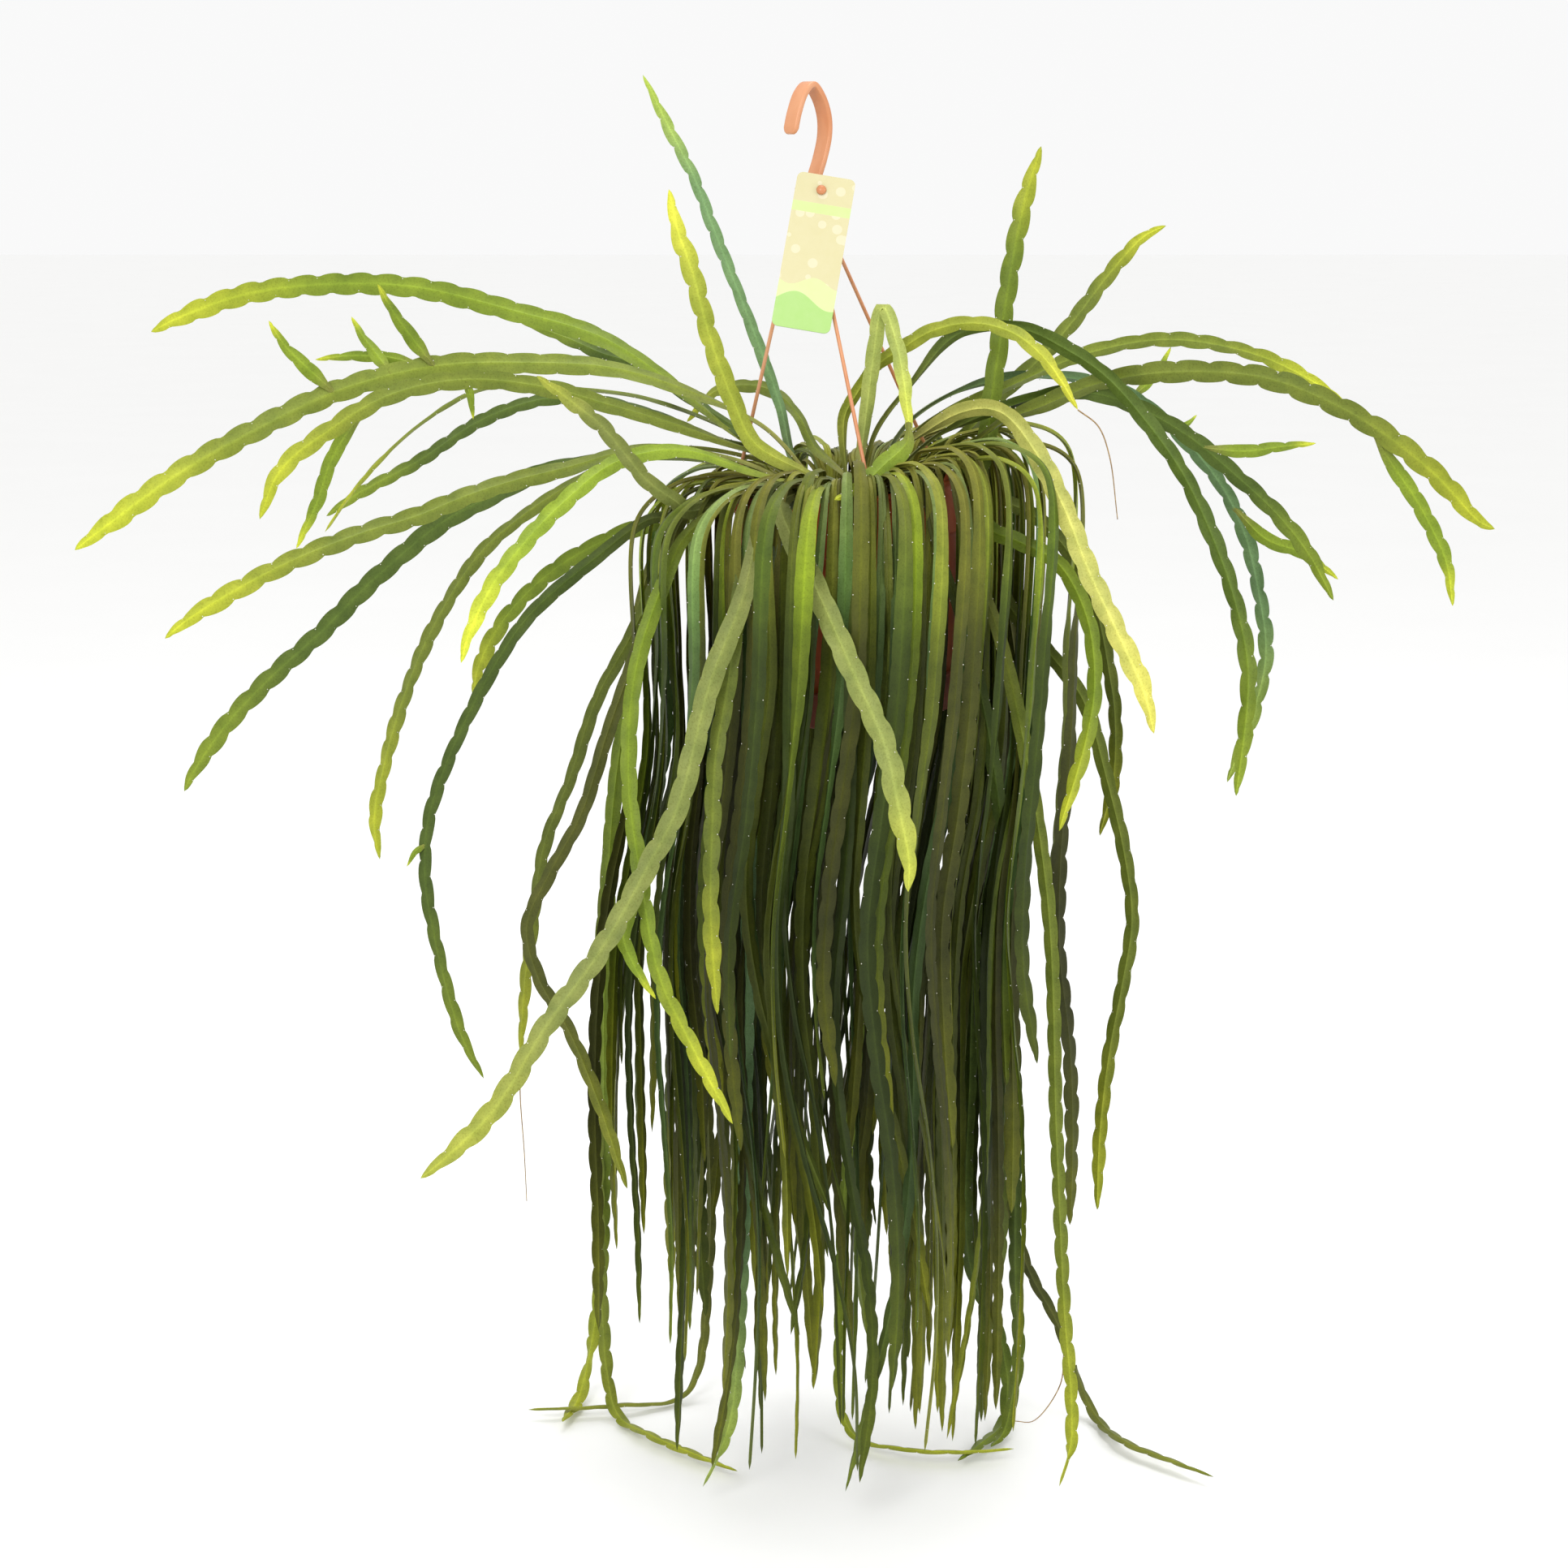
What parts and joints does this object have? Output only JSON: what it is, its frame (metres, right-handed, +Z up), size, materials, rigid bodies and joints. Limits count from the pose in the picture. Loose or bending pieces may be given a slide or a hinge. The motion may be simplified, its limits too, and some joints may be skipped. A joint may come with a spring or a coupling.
{
  "type": "potted trailing cactus in a hanging pot",
  "caption": "Trailing flat-stemmed cactus in a plastic hanging pot with clip-on saucer, one-piece strand hanger with band hook, and plant label.",
  "frame": {"origin": "under the arch of the hook, where the hook bears on what holds it up", "axes": "+Z up, against the pull of the hanging plant; +X to the right and -Y towards the viewer of the picture"},
  "size_m": [0.8825, 0.4248, 0.9351],
  "materials": {
    "pot_plastic": "moulded, satin terracotta",
    "saucer_plastic": "moulded, satin, darker terracotta",
    "hanger_plastic": "moulded, satin light terracotta",
    "potting_soil": "coarse potting mix",
    "label_card": "semi-gloss coated card",
    "cactus_stem": "waxy green skin"
  },
  "bodies": {
    "root": {"arch_right": "cactus_stem", "behind_left": "cactus_stem", "bow_left": "cactus_stem", "cream_right": "cactus_stem", "curtain_01": "cactus_stem", "curtain_02": "cactus_stem", "curtain_03": "cactus_stem", "curtain_04": "cactus_stem", "curtain_05": "cactus_stem", "curtain_06": "cactus_stem", "curtain_07": "cactus_stem", "curtain_08": "cactus_stem", "curtain_09": "cactus_stem", "curtain_11": "cactus_stem", "curtain_13": "cactus_stem", "curtain_14": "cactus_stem", "curtain_15": "cactus_stem", "dark_left": "cactus_stem", "folded": "cactus_stem", "green_right": "cactus_stem", "hanger": "hanger_plastic", "high_left": "cactus_stem", "long_left": "cactus_stem", "long_right": "cactus_stem", "low_left": "cactus_stem", "mid_left": "cactus_stem", "pale_arch_right": "cactus_stem", "pot": "pot_plastic", "raised_right": "cactus_stem", "saucer": "saucer_plastic", "short_left": "cactus_stem", "soil": "potting_soil", "tag": "label_card", "top_left": "cactus_stem", "under_left": "cactus_stem", "upper_right": "cactus_stem", "upright_left": "cactus_stem", "yellow_right": "cactus_stem"}
  },
  "joints": []
}
